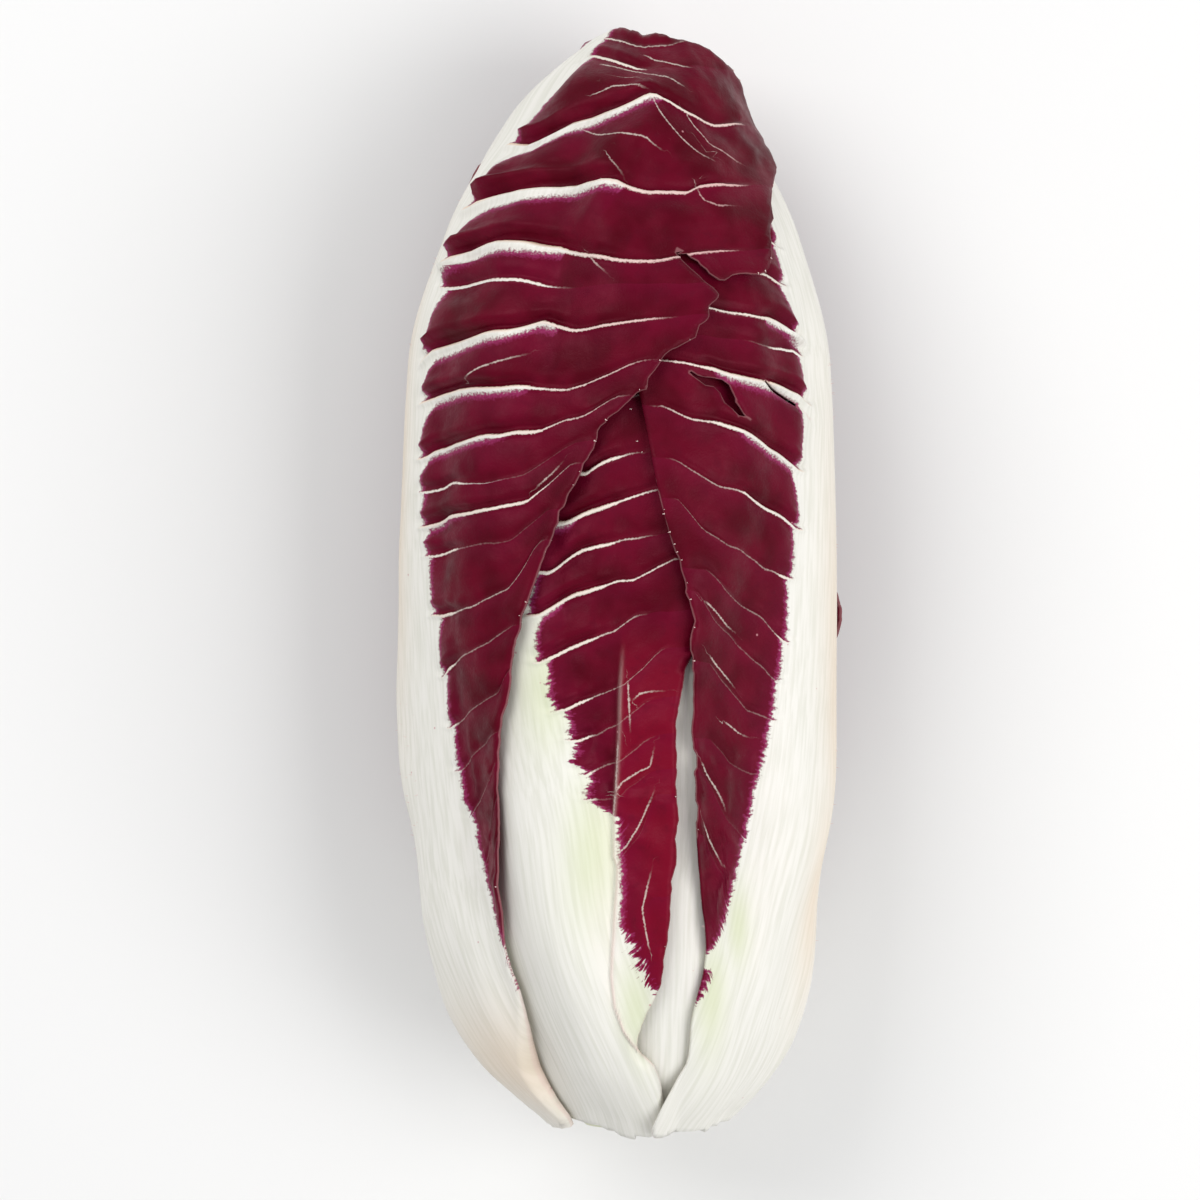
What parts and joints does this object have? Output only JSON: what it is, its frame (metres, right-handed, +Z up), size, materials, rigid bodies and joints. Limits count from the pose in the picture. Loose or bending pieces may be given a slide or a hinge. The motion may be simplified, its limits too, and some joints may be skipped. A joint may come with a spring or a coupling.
{
  "type": "treviso radicchio head",
  "caption": "Head of Treviso radicchio lying on its side, long burgundy leaves with broad white ribs wrapped closely round a firm heart.",
  "frame": {"origin": "middle of the head's footprint, on the surface it lies on", "axes": "+Y from the cut stem to the leaf tips along the head, +Z up, +X to the right as seen from above with the tip away"},
  "size_m": [0.0888, 0.217, 0.076],
  "materials": {
    "leaf": "satin, burgundy blade with a white rib",
    "heart": "satin, pale pink to burgundy",
    "stem": "matte, fresh cut"
  },
  "bodies": {
    "root": {"stem": "stem", "heart": "heart", "leaf_under_inner": "leaf", "leaf_top_inner": "leaf", "leaf_left_flank": "leaf", "leaf_top_middle": "leaf", "leaf_right_wrap": "leaf", "leaf_right_flank": "leaf", "leaf_left_wrap": "leaf", "leaf_under_outer": "leaf"}
  },
  "joints": []
}
